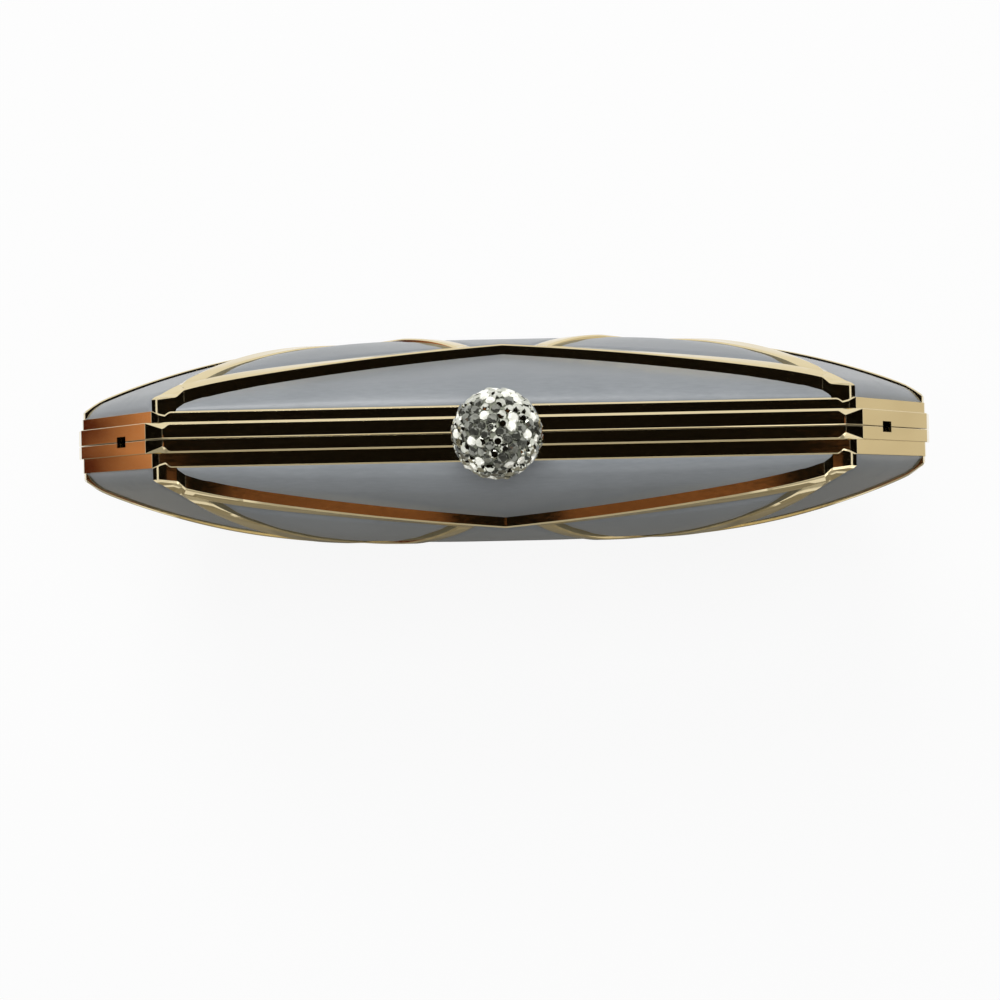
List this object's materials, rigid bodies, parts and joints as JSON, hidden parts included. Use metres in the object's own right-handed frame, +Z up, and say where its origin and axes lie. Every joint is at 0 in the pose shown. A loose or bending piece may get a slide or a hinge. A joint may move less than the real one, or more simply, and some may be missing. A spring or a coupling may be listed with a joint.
{
  "type": "clutch",
  "caption": "Hard-shell evening clutch with an angular outline: hinged halves, satin under a polished metal lattice, and a crystal ball clasp that presses down.",
  "frame": {"origin": "middle of the bottom edge, on the seam between the halves", "axes": "+X along the length, +Y from the front half to the back half, +Z up towards the clasp"},
  "size_m": [0.1856, 0.0454, 0.1241],
  "materials": {
    "pale_gold": "polished, pale gold plated",
    "blue_grey_satin": "satin weave with a soft sheen",
    "shell_board": "matte moulded board",
    "lining_fabric": "plain woven lining",
    "plated_steel": "plated, lightly brushed",
    "ball_base": "dull silver",
    "crystal": "clear cut crystal with silver facets"
  },
  "bodies": {
    "back_half": {"back_frame": "pale_gold", "back_satin_cover": "blue_grey_satin", "back_shell": "shell_board", "back_lining": "lining_fabric", "hinge_pin_left": "plated_steel", "hinge_pin_right": "plated_steel", "catch_plate": "plated_steel", "catch_rivet_left": "pale_gold", "catch_rivet_right": "pale_gold", "chain_anchor_left": "plated_steel", "chain_anchor_right": "plated_steel", "chain_anchor_rivet_left": "pale_gold", "chain_anchor_rivet_right": "pale_gold"},
    "front_half": {"front_frame": "pale_gold", "front_satin_cover": "blue_grey_satin", "front_shell": "shell_board", "front_lining": "lining_fabric", "lock_housing": "plated_steel", "lock_rivet_left": "pale_gold", "lock_rivet_right": "pale_gold", "latch_spring": "plated_steel"},
    "knob": {"knob_stem": "plated_steel", "latch_plate": "plated_steel", "ball_cup": "pale_gold", "ball_core": "ball_base", "ball_crystals": "crystal"}
  },
  "joints": [
    {"name": "lid_hinge", "type": "hinge", "parent": "back_half", "child": "front_half", "pos_m": [0, 0, 0.0018], "axis": [1, 0, 0], "range_deg": [0, 75]},
    {"name": "knob_press", "type": "slide", "parent": "front_half", "child": "knob", "axis": [0, 0, -1], "range_m": [0, 0.002], "stiffness_N_per_m": 400, "springref_m": -0.004, "deforming": ["latch_spring"]}
  ]
}
